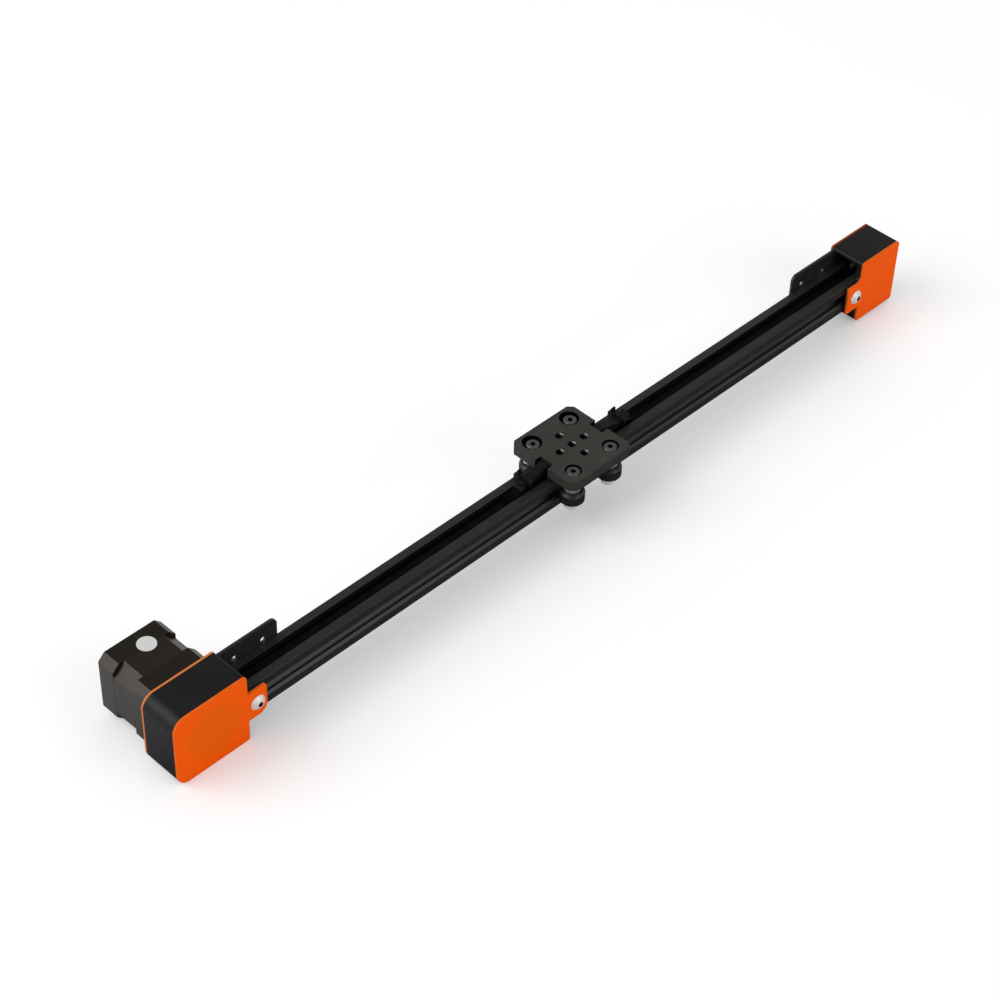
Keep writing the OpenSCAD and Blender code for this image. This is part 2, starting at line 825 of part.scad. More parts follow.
// socket for the motor's cable, let into the rear cap
module motor_connector() {
  y0 = motor_y1 - rear_cap_l + socket_y + seat_clear;
  w = socket_w - 2*seat_clear;
  l = socket_h - 2*seat_clear;
  t = socket_in + socket_out;
  color(pale) at_motor()
    translate([motor_w/2 - socket_in + seat_clear, y0, -w/2]) difference() {
      cube([t, l, w]);
      translate([socket_back, socket_wall, socket_wall])
        cube([t, l - 2*socket_wall, w - 2*socket_wall]);
    }
}

// round blank sticker on the motor's top
module motor_label() {
  color(pale) at_motor()
    translate([label_x, label_y, motor_w/2]) cylinder(r = label_d/2, h = label_t);
}

module motor_shaft() {
  color(steel) at_motor() difference() {
    rod_y(shaft_d/2, shaft_y0, shaft_y1);
    translate([-shaft_d/2, shaft_y0 - cut, shaft_d/2 - shaft_flat])
      cube([shaft_d, shaft_flat_l + cut, shaft_d]);
  }
}

module motor_rotor() {
  y0 = motor_y0 + front_cap_wall + rotor_gap;
  y1 = motor_y1 - rear_cap_wall - rotor_gap;
  mid = (y0 + y1)/2;
  color(steel) at_motor() difference() {
    union() {
      rod_y(rotor_r, y0, mid - 1);
      rod_y(rotor_r - rotor_waist, mid - 1, mid + 1);
      rod_y(rotor_r, mid + 1, y1);
    }
    rod_y(shaft_d/2 + seat_clear/2, y0 - cut, y1 + cut);
  }
}

// ---- belt and pulleys ----

// toothed rim between two flanges, drawn along Y round Y = 0
module toothed_rim() {
  step = 360/pulley_teeth;
  slab_y(-channel_half, channel_half) difference() {
    circle(r = pulley_r);
    for (i = [0:pulley_teeth - 1]) rotate(i*step) translate([pulley_r, 0]) circle(r = groove_r);
  }
  for (s = [-1, 1])
    rod_y(flange_r, s > 0 ? channel_half : -pulley_side, s > 0 ? pulley_side : -channel_half);
}

module drive_pulley() {
  grub_y = pulley_side + pulley_hub_l/2;
  color(steel) at_motor() difference() {
    union() {
      toothed_rim();
      rod_y(flange_r, pulley_side, pulley_side + pulley_hub_l);
    }
    rod_y(shaft_d/2 + seat_clear/2, -pulley_side - cut, pulley_side + pulley_hub_l + cut);
    for (a = [0, 90])
      translate([0, grub_y, 0]) rotate([0, a, 0]) cylinder(r = m3_d/2, h = flange_r + cut);
  }
}

module pulley_grub_screws() {
  grub_y = pulley_side + pulley_hub_l/2;
  top = flange_r - grub_sink;
  foot = shaft_d/2 + seat_clear;
  color(steel) at_motor()
    for (a = [0, 90])
      translate([0, grub_y, 0]) rotate([0, a, 0]) difference() {
        translate([0, 0, foot]) cylinder(r = m3_d/2 - seat_clear/2, h = top - foot);
        translate([0, 0, top]) hex_cut(grub_socket, grub_socket*1.3);
      }
}

module at_idler() {
  translate([idler_x, 0, axis_z]) children();
}

module idler_pulley() {
  lip_r = idler_bearing_d/2 - idler_lip;
  color(steel) at_idler() difference() {
    toothed_rim();
    rod_y(lip_r, -pulley_side - cut, pulley_side + cut);
    for (s = [-1, 1])
      rod_y(idler_bearing_d/2 + seat_clear/2,
            s > 0 ? pulley_side - idler_bearing_w : -pulley_side - cut,
            s > 0 ? pulley_side + cut : -pulley_side + idler_bearing_w);
  }
}

module idler_bearings() {
  color(steel) at_idler()
    for (y = [-pulley_side, pulley_side - idler_bearing_w])
      translate([0, y, 0]) rotate([-90, 0, 0])
        bearing(idler_bearing_d, hub_r, idler_bearing_w);
}

module idler_axle() {
  color(steel) at_idler() translate([0, cover_y, 0]) from_side(1)
    button_screw(m5_d, m5_head_d, m5_head_h, cover_y + body_half - 1, m5_socket);
}

module idler_spacers() {
  near = -pulley_side - side_clear;
  far = pulley_side + side_clear;
  foot = -pulley_side - shim_t;
  color(steel) at_idler() {
    translate([0, foot, 0]) rotate([-90, 0, 0])
      ring(idler_ring_r, m5_d/2 + seat_clear, near - foot);
    translate([0, far, 0]) rotate([-90, 0, 0])
      ring(idler_ring_r, m5_d/2 + seat_clear, body_half - idler_web - far);
  }
}

// outline points of one tooth on the upper run (side 1) or the lower one (side -1)
function tooth_points(x, side) =
  let (root = tooth_root*belt_pitch, tip = tooth_tip*belt_pitch)
  [[x - root, side*belt_in], [x - tip, side*(belt_in - belt_tooth_h)],
   [x + tip, side*(belt_in - belt_tooth_h)], [x + root, side*belt_in]];

// places of the teeth: those of the stretch next to each pulley are drawn, the rest of the
// run is left plain
teeth_n = floor(toothed_l/belt_pitch);
tooth_x = concat(
  [for (i = [0:teeth_n - 1]) motor_x + tooth_from + i*belt_pitch],
  [for (i = [teeth_n - 1:-1:0]) idler_x - tooth_from - i*belt_pitch]);
tooth_back_x = [for (i = [len(tooth_x) - 1:-1:0]) tooth_x[i]];

// the closed belt: a band with teeth on the inside
belt_inside = concat(
  [for (x = tooth_x) each tooth_points(x, 1)],
  arc([idler_x, 0], belt_in, 90, -90, wrap_steps),
  [for (x = tooth_back_x) let (t = tooth_points(x, -1)) each [t[3], t[2], t[1], t[0]]],
  arc([motor_x, 0], belt_in, 270, 90, wrap_steps));
belt_outside = concat(arc([idler_x, 0], belt_out, 90, -90, wrap_steps),
                      arc([motor_x, 0], belt_out, 270, 90, wrap_steps));

module drive_belt() {
  out_n = len(belt_outside);
  in_n = len(belt_inside);
  color(belt_black) at_axis() slab_y(-belt_w/2, belt_w/2)
    polygon(concat(belt_outside, belt_inside),
            [[for (i = [0:out_n - 1]) i], [for (i = [0:in_n - 1]) out_n + i]]);
}

// ---- carriage ----

wheel_x = wheel_gap_x/2;

// plate seen from above, without its holes
module plate_outline() {
  difference() {
    chamfer_square(plate_w, plate_chamfer);
    for (s = [-1, 1])
      translate([s*(plate_w - notch_d + cut)/2, 0])
        square([notch_d + cut, notch_w], center = true);
  }
}

module carriage_plate() {
  color(black_alu) difference() {
    translate([0, 0, -plate_t]) linear_extrude(height = plate_t) plate_outline();
    for (p = [[0, 0], [1, 0], [-1, 0], [0, 1], [0, -1]])
      translate([p[0]*hole_circle_d/2, p[1]*hole_circle_d/2, -plate_t - cut])
        cylinder(r = mount_hole_d/2, h = plate_t + 2*cut);
    for (sx = [-1, 1]) {
      translate([sx*wheel_x, -wheel_y, 0]) {
        translate([0, 0, -plate_t - cut]) cylinder(r = m5_d/2 + hole_clear, h = plate_t + 2*cut);
        translate([0, 0, -cbore_depth]) cylinder(r = cbore_fixed_d/2, h = cbore_depth + cut);
      }
      translate([sx*wheel_x, wheel_y + ecc_throw, 0]) {
        translate([0, 0, -plate_t - cut]) cylinder(r = ecc_hole_r, h = plate_t + 2*cut);
        translate([0, 0, -cbore_depth]) cylinder(r = cbore_ecc_d/2, h = cbore_depth + cut);
      }
      translate([sx*pin_x, 0, axis_z + pin_z]) rod_y(pin_r + seat_clear/2, -pin_l/2, pin_l/2);
    }
  }
}

// repeats a piece at each wheel
module at_wheels(sides) {
  for (sx = [-1, 1], sy = sides) translate([sx*wheel_x, sy*wheel_y, axis_z]) children();
}

module wheel_screws() {
  color(steel) at_wheels([-1, 1])
    translate([0, 0, plate_low + plate_t - cbore_depth])
      low_screw(m5_d, wheel_head_d, wheel_head_h, wheel_screw_l, m5_socket);
}

module wheel_spacers() {
  color(steel) at_wheels([-1])
    translate([0, 0, stack_half + shim_t]) ring(spacer_r, m5_d/2 + seat_clear, spacer_l);
}

module eccentric_spacers() {
  color(steel) at_wheels([1])
    translate([0, 0, stack_half + shim_t]) difference() {
      union() {
        translate([0, ecc_throw, 0]) cylinder(r = ecc_hex/sqrt(3), h = spacer_l, $fn = 6);
        translate([0, ecc_throw, 0])
          cylinder(r = ecc_hole_r - seat_clear, h = spacer_l + ecc_boss_l);
      }
      translate([0, 0, -cut]) cylinder(r = m5_d/2 + seat_clear, h = spacer_l + ecc_boss_l + 2*cut);
    }
}

module wheel_shims() {
  inner_h = rib_t - 2*side_clear;
  color(steel) at_wheels([-1, 1]) {
    translate([0, 0, stack_half]) ring(shim_r, m5_d/2 + seat_clear, shim_t);
    translate([0, 0, -inner_h/2]) ring(shim_r, m5_d/2 + seat_clear, inner_h);
  }
}

module wheel_nuts() {
  color(steel) at_wheels([-1, 1])
    translate([0, 0, -stack_half - nut_h - nut_collar_h]) difference() {
      union() {
        translate([0, 0, nut_collar_h])
          cylinder(r = nut_flats/sqrt(3), h = nut_h, $fn = 6);
        cylinder(r1 = nut_flats/2 - nut_bevel, r2 = nut_flats/2, h = nut_collar_h);
      }
      translate([0, 0, -cut]) cylinder(r = thread_r, h = nut_h + nut_collar_h + 2*cut);
    }
}

// ---- belt ends ----

// line of a belt end on the +X side: out of the slot, through the tie, round the pin,
// back through the tie and up into a short tail
function belt_end_line(tie_x) =
  let (low = tie_z - pair_half + belt_t/2, high = tie_z + pair_half - belt_t/2,
       r = pin_r + strand_clear/2 + belt_t/2, level = tie_w/2 + tie_clear,
       start = [tie_x + ramp_l, slot_run_z],
       low_out = [tie_x + level, low], low_in = [tie_x - level, low],
       pin_low = [pin_x, pin_z - r], pin_top = [pin_x, pin_z + r],
       high_in = [tie_x - level, high], high_out = [tie_x + level, high],
       tail = [tie_x + level + tail_l, high + tail_rise])
  concat([[start[0] + start_l, start[1]], start],
         ease(start, low_out, 10), ease(low_in, pin_low, 6, 0),
         arc([pin_x, pin_z], r, 270, 90, 14, 1),
         ease(pin_top, high_in, 6), ease(high_out, tail, 5, 0));

module belt_end(tie_x) {
  color(belt_black) at_axis()
    slab_y(-belt_w/2, belt_w/2) band(belt_end_line(tie_x), belt_t);
}

tie_x_motor = plate_w/2 + tie_out_motor;
tie_x_idler = plate_w/2 + tie_out_idler;

module belt_end_motor() {
  mirror([1, 0, 0]) belt_end(tie_x_motor);
}

module belt_end_idler() {
  belt_end(tie_x_idler);
}

module belt_pins() {
  color(steel) at_axis()
    for (s = [-1, 1]) translate([s*pin_x, 0, pin_z]) rod_y(pin_r, -pin_l/2, pin_l/2);
}

// cable tie round both strands, with its head on the far side
module cable_tie() {
  y = belt_w/2 + tie_clear;
  z = pair_half + tie_clear;
  head_w = tie_w + 1.4;
  difference() {
    union() {
      slab_x(-tie_w/2, tie_w)
        corner_box(-y - tie_t, -z - tie_t, y + tie_t, z + tie_t, [tie_t, tie_t, tie_t, tie_t]);
      slab_x(-head_w/2, head_w)
        corner_box(y, z - tie_head_h, y + tie_head_l, z + tie_t,
                   [tie_round, tie_round, tie_round, tie_round]);
      translate([-tie_w/2, y + (tie_head_l - tie_t)/2, z])
        cube([tie_w, tie_t, tie_t + tie_tail_l]);
    }
    slab_x(-head_w, 2*head_w)
      corner_box(-y, -z, y, z, [tie_clear, tie_clear, tie_clear, tie_clear]);
  }
}

module cable_ties() {
  color(black_plastic) at_axis() {
    translate([tie_x_idler, 0, tie_z]) cable_tie();
    translate([-tie_x_motor, 0, tie_z]) cable_tie();
  }
}

// ---- wheels ----

module wheel(sx, sy) {
  r = wheel_d/2;
  h = wheel_w/2;
  bevel = (wheel_w - crown_w)/2;
  seat_r = bearing_d/2;
  color(black_plastic) translate([sx*wheel_x, sy*wheel_y, axis_z])
    rotate_extrude() polygon([
      [seat_r, -h], [r - bevel, -h], [r, -crown_w/2], [r, crown_w/2], [r - bevel, h],
      [seat_r, h], [seat_r, rib_t/2], [seat_r - rib_h, rib_t/2],
      [seat_r - rib_h, -rib_t/2], [seat_r, -rib_t/2]]);
}

module wheel_bearings(sx, sy) {
  color(steel) translate([sx*wheel_x, sy*wheel_y, axis_z])
    for (z = [rib_t/2, -rib_t/2 - bearing_w])
      translate([0, 0, z]) bearing(bearing_d - seat_clear, hub_r, bearing_w);
}

module wheel_near_motor() { wheel(-1, -1); }
module wheel_near_idler() { wheel(1, -1); }
module wheel_far_motor() { wheel(-1, 1); }
module wheel_far_idler() { wheel(1, 1); }
module bearings_near_motor() { wheel_bearings(-1, -1); }
module bearings_near_idler() { wheel_bearings(1, -1); }
module bearings_far_motor() { wheel_bearings(-1, 1); }
module bearings_far_idler() { wheel_bearings(1, 1); }

rail();
motor_housing();
motor_cover_front();
motor_plate_rear();
idler_housing();
idler_cover_front();
idler_plate_rear();
switch_bracket_motor();
switch_bracket_idler();
tab_screws();
bracket_screws();
tee_nuts();
motor_front_cap();
motor_stator();
motor_rear_cap();
motor_case_screws();
motor_mount_screws();
motor_bearings();
motor_connector();
motor_label();
drive_belt();
idler_axle();
idler_spacers();
carriage_plate();
wheel_screws();
wheel_spacers();
eccentric_spacers();
wheel_shims();
wheel_nuts();
belt_end_motor();
belt_end_idler();
belt_pins();
cable_ties();
wheel_near_motor();
wheel_near_idler();
wheel_far_motor();
wheel_far_idler();
bearings_near_motor();
bearings_near_idler();
bearings_far_motor();
bearings_far_idler();
motor_shaft();
motor_rotor();
drive_pulley();
pulley_grub_screws();
idler_pulley();
idler_bearings();
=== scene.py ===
"""Looks of the belt driven linear axis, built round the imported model.

Every length is in metres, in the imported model's frame: +X runs from the motor end to the
idler end, +Y points to the motor's side, +Z is up, and the origin is the middle of the
carriage plate's top. The script adds no form of its own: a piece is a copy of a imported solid
with its sharp edges rounded, or the solid itself.
"""

import json
import math

import bmesh
import bpy
from mathutils import Matrix, Vector


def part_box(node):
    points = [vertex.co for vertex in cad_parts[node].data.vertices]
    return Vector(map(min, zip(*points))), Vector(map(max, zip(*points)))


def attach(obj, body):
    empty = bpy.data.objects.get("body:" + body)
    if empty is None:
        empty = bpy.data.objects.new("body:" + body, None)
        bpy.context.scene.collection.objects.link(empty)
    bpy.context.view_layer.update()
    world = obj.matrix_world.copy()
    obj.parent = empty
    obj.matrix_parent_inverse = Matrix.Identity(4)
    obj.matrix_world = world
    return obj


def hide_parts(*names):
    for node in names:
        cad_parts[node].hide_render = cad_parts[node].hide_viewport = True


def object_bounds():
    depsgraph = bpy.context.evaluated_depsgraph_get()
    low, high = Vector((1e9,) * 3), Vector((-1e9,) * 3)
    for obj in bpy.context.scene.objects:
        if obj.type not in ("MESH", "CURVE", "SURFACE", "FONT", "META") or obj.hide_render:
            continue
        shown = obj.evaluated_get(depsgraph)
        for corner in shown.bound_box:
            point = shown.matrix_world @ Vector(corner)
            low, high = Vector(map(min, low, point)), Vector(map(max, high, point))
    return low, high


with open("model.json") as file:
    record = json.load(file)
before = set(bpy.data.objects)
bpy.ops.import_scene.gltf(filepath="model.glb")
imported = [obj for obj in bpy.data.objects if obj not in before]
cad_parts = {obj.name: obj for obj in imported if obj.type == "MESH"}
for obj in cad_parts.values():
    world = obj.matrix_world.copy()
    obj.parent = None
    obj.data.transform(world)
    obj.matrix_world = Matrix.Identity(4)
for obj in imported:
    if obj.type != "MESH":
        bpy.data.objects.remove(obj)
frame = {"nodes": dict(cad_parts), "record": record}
cad_low, cad_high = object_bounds()
NODES = frame["nodes"]
SLOT_OF = {s["node"]: s["material_slot"] for s in frame["record"]["subparts"]}
BODY_OF = {n: b for b, ns in frame["record"]["behaviour"]["bodies"].items() for n in ns}
MM = 0.001


# ---------------------------------------------------------------- named sizes

# The photograph's viewpoint: from the motor end, on the near side, from above.
CAMERA_AIM = Vector((-0.0544, 0.0025, 0.0))
CAMERA_DISTANCE = 1.4092
CAMERA_AZIMUTH = math.radians(-46.61)
CAMERA_ELEVATION = math.radians(42.55)
CAMERA_ROLL = math.radians(2.06)
CAMERA_LENS_MM = 89.85
CAMERA_SENSOR_MM = 36
CAMERA_SHIFT = (-0.0021, -0.0139)
CAMERA_RANGE = (0.05, 50)

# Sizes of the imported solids, by which the faces to paint are found.
SOCKET_FLATS = 3 * MM          # hexagonal sockets of the wheel and tab screws
HOLES_REACH = 13 * MM          # the carriage plate's five middle holes lie within this radius
COUNTERBORE_DEPTH = 2.6 * MM
BELOW_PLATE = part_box("carriage_plate")[0].z - 0.3 * MM
TOP_SLOT_HALF_WIDTH = 5.5 * MM
TOP_SLOT_REACH = 7 * MM        # a little deeper than the rail's top slot
TOLERANCE = 0.05 * MM

# Cleaning and rounding of the copies.
SAME_POINT = 0.002 * MM
FLAT_ANGLE = math.radians(0.4)
SHARP_ANGLE = math.radians(32)
BEVEL_SEGMENTS = 2
COVER_BEVEL = 0.22 * MM
REAR_COVER_BEVEL = 0.35 * MM
SCREW_BEVEL = 0.15 * MM
TAB_SCREW_BEVEL = 0.1 * MM
RAIL_BEVEL = 0.12 * MM
PLATE_BEVEL = 0.3 * MM
BELT_END_BEVEL = 0.08 * MM

# The front cover of the motor housing has a painted shade in a disc round the pulley's axis,
# where the cavity behind the sheet shows through darker.
SHADE_DISC_RADIUS = 18 * MM
SHADE_DISC_FADE = (0.75, 1.15)       # shares of the radius between which the disc fades out

# Colours, as linear red, green and blue.
WHITE = (1, 1, 1)
ORANGE = (0.92, 0.103, 0.0004)
ORANGE_SHADE_DISC = (0.81, 0.113, 0.0003)
ORANGE_IDLER = (0.93, 0.1, 0.002)
# Painted light on the covers' rims: painted highlight lines for the front covers and the motor's
# rear cover, painted shade for the idler's rear cover and the rear covers' rounded edges.
ORANGE_RIM_HIGHLIGHT = (0.68, 0.11, 0.01)
ORANGE_PALE_RIM_HIGHLIGHT = (0.55, 0.17, 0.045)
ORANGE_RIM_SHADE = (0.3, 0.045, 0.006)
ORANGE_EDGE_SHADE = (0.2, 0.022, 0.002)
LACQUER_BLACK = (0.0075, 0.006, 0.004)
STATOR_BLACK = (0.0075, 0.0058, 0.004)

# The threads of the plate's holes are painted dark as shade, with a painted highlight near the
# mouth on the +X side.
THREAD_SHADE = 0.006
HIGHLIGHT_DEPTHS = (-1.5 * MM, -0.4 * MM)
HIGHLIGHT_NORMALS = (-0.55, -0.9)   # along X

# The floor. Over a span of places, a value moves from its first number to its last.
FLOOR_HALF_WIDTH = 30
FLOOR_GAP = 0.05 * MM
FLOOR_TONE = 0.8
# The growth of this light along X, and the side lifts beside the rail, are painted light and
# painted shade that shape the object's shadow on the floor.
FLOOR_LIFT = (0.22, 0.28)      # its own light, to the camera only, growing along X
LIFT_SPAN = (-0.1, 0.45)
FAR_LIFT = 0.4                 # added to it far from the rail
FAR_SPAN = (0.5, 2.0)
PAINTED_SIDE_LIFTS = (-0.06, 0.11)     # added to it beside the rail, on the near and the far side
SIDES_SPAN = (-0.03, 0.02)
SIDE_REACH = (0.02, 0.1)       # distances from the rail over which the side's share ends
MEASURED_LINE = (-0.25, 0.2)   # the stretch of the rail from which distances are measured
# Painted reflection: the floor is darker in reflections on the near side and paler on the far
# side.
MIRRORED_SIDES = (0.08, 0.5)   # the floor's tone in reflections, near and far side
MIRRORED_SPAN = (-0.03, 0.04)

# The world's strength for matt surfaces, and its fall from one to a dim ceiling in reflections.
WORLD_LIGHT = 0.8
WORLD_CEILING = 0.15
CEILING_SPAN = (0.25, 0.6)

# Area lamps: place, size and watts.
LAMPS = {
    "key": ((-1.7, 0.9, 1.6), (2.2, 1.7), 31),
    "fill": ((0.3, -1.7, 1.1), (1.2, 1.0), 6.2),
}


# ---------------------------------------------------------------- camera

def add_camera():
    """A camera at the photograph's viewpoint."""
    data = bpy.data.cameras.new("camera")
    data.lens = CAMERA_LENS_MM
    data.sensor_width = CAMERA_SENSOR_MM
    data.shift_x, data.shift_y = CAMERA_SHIFT
    data.clip_start, data.clip_end = CAMERA_RANGE
    camera = bpy.data.objects.new("camera", data)
    bpy.context.scene.collection.objects.link(camera)
    level = math.cos(CAMERA_ELEVATION)
    back = Vector((math.sin(CAMERA_AZIMUTH) * level,
                   -math.cos(CAMERA_AZIMUTH) * level,
                   math.sin(CAMERA_ELEVATION)))
    flat_right = Vector((0, 0, 1)).cross(back).normalized()
    flat_up = back.cross(flat_right)
    right = flat_right * math.cos(CAMERA_ROLL) + flat_up * math.sin(CAMERA_ROLL)
    up = back.cross(right)
    turn = Matrix((right, up, back)).transposed().to_4x4()
    camera.matrix_world = Matrix.Translation(CAMERA_AIM + back * CAMERA_DISTANCE) @ turn
    bpy.context.scene.camera = camera


# ---------------------------------------------------------------- shader nodes

class Graph:
    """Short calls for the nodes of a material or a world."""

    def __init__(self, owner):
        owner.use_nodes = True
        self.nodes = owner.node_tree.nodes
        self.links = owner.node_tree.links

    def add(self, kind, **settings):
        """A new node of that kind, with settings such as its operation."""
        node = self.nodes.new("ShaderNode" + kind)
        for name, value in settings.items():
            setattr(node, name, value)
        return node

    def feed(self, socket, value):
        """Link another socket to this one, or give it a number or a colour."""
        if isinstance(value, bpy.types.NodeSocket):
            self.links.new(value, socket)
        elif isinstance(value, tuple) and socket.type == "RGBA":
            socket.default_value = (*value, 1)
        else:
            socket.default_value = value

    def feed_all(self, node, **values):
        """Feed several of a node's sockets; an underscore stands for a space."""
        for name, value in values.items():
            self.feed(node.inputs[name.replace("_", " ")], value)

    def maths(self, operation, *values):
        """One operation on numbers."""
        node = self.add("Math", operation=operation)
        for socket, value in zip(node.inputs, values):
            self.feed(socket, value)
        return node.outputs["Value"]

    def length(self, a, b):
        """The length of a line that reaches a and b along two axes."""
        squares = [self.maths("MULTIPLY", side, side) for side in (a, b)]
        return self.maths("SQRT", self.maths("ADD", *squares))

    def blend(self, value, span, first, last, curve="LINEAR"):
        """Moves from the first to the last number while the value moves over the span."""
        node = self.add("MapRange", interpolation_type=curve)
        self.feed_all(node, Value=value, From_Min=span[0], From_Max=span[1],
                      To_Min=first, To_Max=last)
        return node.outputs["Result"]

    def mix(self, factor, first, last, **settings):
        """A mix of two numbers, or of two colours with data_type RGBA."""
        node = self.add("Mix", **settings)
        self.feed_all(node, Factor=factor, A=first, B=last)
        return node.outputs["Result"]

    def coordinates(self, kind):
        """The coordinates of that kind, such as Object or Normal."""
        return self.add("TexCoord").outputs[kind]

    def part(self, vector, axis):
        """One of a vector's three numbers."""
        node = self.add("SeparateXYZ")
        self.feed(node.inputs["Vector"], vector)
        return node.outputs[axis]


class Shader(Graph):
    """A material with one Principled shader, and short calls for its procedural detail."""

    PATTERN_SPAN = (0.3, 0.7)      # where most of a noise's values lie
    WAVE_PITCH = 0.314             # of a wave texture at scale 1

    def __init__(self, name, colour, roughness, **sockets):
        self.material = bpy.data.materials.new(name)
        super().__init__(self.material)
        principled = self.nodes["Principled BSDF"]
        self.inputs = principled.inputs
        self.feed_all(principled, Base_Color=colour, Roughness=roughness, **sockets)
        self.place = self.coordinates("Object")

    def noise(self, cells, detail=3.0, stretch=(1, 1, 1)):
        """A noise pattern with that many cells in a metre, times a stretch for each axis."""
        mapping = self.add("Mapping")
        self.feed_all(mapping, Vector=self.place, Scale=stretch)
        texture = self.add("TexNoise")
        self.feed_all(texture, Vector=mapping.outputs["Vector"], Scale=cells, Detail=detail)
        return texture.outputs["Fac"]

    def waves(self, axis, pitch):
        """Straight lines across an axis, one in each pitch."""
        texture = self.add("TexWave", bands_direction=axis)
        self.feed_all(texture, Vector=self.place, Scale=self.WAVE_PITCH / pitch,
                      Distortion=0)
        return texture.outputs["Fac"]

    def mix_base(self, factor, first, last, blend_type="MIX"):
        """The base colour becomes a mix of two colours."""
        self.feed(self.inputs["Base Color"],
                  self.mix(factor, first, last, data_type="RGBA", blend_type=blend_type))

    def mottle(self, pattern, dark, light):
        """The base colour moves between two colours along a pattern."""
        self.mix_base(self.blend(pattern, self.PATTERN_SPAN, 0, 1), dark, light)

    def uneven_gloss(self, pattern, low, high):
        """The roughness moves between two values along a pattern."""
        self.feed(self.inputs["Roughness"], self.blend(pattern, self.PATTERN_SPAN, low, high))

    def relief(self, pattern, height, strength=1.0):
        """Fine bumps of that height, on top of the ones made before."""
        bump = self.add("Bump")
        self.feed_all(bump, Strength=strength, Distance=height, Height=pattern)
        for made_before in self.inputs["Normal"].links:
            self.feed(bump.inputs["Normal"], made_before.from_socket)
        self.feed(self.inputs["Normal"], bump.outputs["Normal"])

    def shade_disc(self, centre, radius, inside, outside):
        """The base colour changes within a circle round an axis along Y, as a painted shade."""
        distance = self.length(self.maths("SUBTRACT", self.part(self.place, "X"), centre.x),
                               self.maths("SUBTRACT", self.part(self.place, "Z"), centre.z))
        span = [radius * share for share in SHADE_DISC_FADE]
        self.mix_base(self.blend(distance, span, 0, 1, "SMOOTHSTEP"), inside, outside)

    def dim_cast(self, share):
        """The surface throws only that share of its colour on other surfaces."""
        colour = self.inputs["Base Color"].links[0].from_socket
        bounced = self.add("LightPath").outputs["Is Diffuse Ray"]
        self.mix_base(bounced, colour, (share, share, share), "MULTIPLY")


# ---------------------------------------------------------------- materials

def grey(value, warm=0.0):
    """A grey, or a slightly warm one."""
    return (value * (1 + warm), value, value * (1 - warm))


def olive(value):
    """The grey of black anodised aluminium, with a trace of green."""
    return (value, value * 1.02, value * 0.88)


def black_anodised(name, level, shine, drawn):
    """Dyed aluminium: drawn lines along X on the rail, or a bead-blasted grain."""
    s = Shader(name, olive(level), 0.42, Specular_IOR_Level=shine, Specular_Tint=(1, 1, 0.94))
    s.mottle(s.noise(45), olive(level * 0.88), olive(level * 1.12))
    if drawn:
        lines = s.noise(1, detail=4, stretch=(6, 2600, 2600))
        s.uneven_gloss(lines, 0.3, 0.44)
        s.relief(lines, 0.006 * MM)
    else:
        s.uneven_gloss(s.noise(300), 0.5, 0.58)
        s.relief(s.noise(5200, detail=2), 0.012 * MM)
    return s.material


def satin_plastic(name, level, roughness=0.42, shine=0.5, warm=0.0):
    """Moulded plastic with a fine spark-eroded grain."""
    s = Shader(name, grey(level), roughness, Specular_IOR_Level=shine)
    s.mottle(s.noise(60), grey(level * 0.85, warm), grey(level * 1.2, warm))
    s.uneven_gloss(s.noise(420), roughness - 0.05, roughness + 0.05)
    s.relief(s.noise(3800, detail=2), 0.01 * MM)
    return s.material


def lacquer(name, colour, roughness, laminated=False):
    """Glossy black lacquer with slight waviness, over bare metal or a stack of sheets."""
    s = Shader(name, colour, roughness, Coat_Weight=0.25, Coat_Roughness=0.22,
               Specular_Tint=(1, 0.87, 0.76))
    s.mottle(s.noise(60), colour, tuple(c * 1.2 for c in colour))
    s.uneven_gloss(s.noise(120), roughness - 0.04, roughness + 0.06)
    s.relief(s.noise(260), 0.006 * MM)
    if laminated:
        s.relief(s.waves("Y", pitch=0.5 * MM), 0.03 * MM, strength=0.8)
    return s.material


def orange_sheet(name, colour, painted_glow=0.0, cast=1.0, shade_disc=None):
    """Tinted orange acrylic with a dull sheen, and a little painted glow that stands in for the
    light that fluorescent sheet gives back.

    Cast is the share of its colour that it throws on other surfaces. A shade disc is the centre
    and the colour of a painted shade, where the cavity behind the sheet shows through darker.
    """
    s = Shader(name, colour, 0.5, Specular_IOR_Level=0.06, Specular_Tint=(1, 0.3, 0.01),
               Emission_Color=colour, Emission_Strength=painted_glow)
    if shade_disc:
        centre, shade_colour = shade_disc
        s.shade_disc(centre, SHADE_DISC_RADIUS, shade_colour, colour)
    else:
        s.mottle(s.noise(30), colour, tuple(c * 1.06 for c in colour))
    if cast < 1:
        s.dim_cast(cast)
    s.uneven_gloss(s.noise(90), 0.42, 0.52)
    s.relief(s.noise(160, detail=2), 0.01 * MM)
    return s.material


def bare_metal(name, level, roughness, turned=False, warm=0.0, metallic=1.0):
    """Plated steel or turned aluminium."""
    s = Shader(name, grey(level, warm), roughness, Metallic=metallic)
    s.mottle(s.noise(900), grey(level * 0.9, warm), grey(level, warm))
    s.uneven_gloss(s.noise(1500), roughness - 0.06, roughness + 0.08)
    s.relief(s.noise(2500, detail=2), 0.006 * MM)
    if turned:
        s.relief(s.waves("Z", pitch=0.15 * MM), 0.004 * MM, strength=0.6)
    return s.material


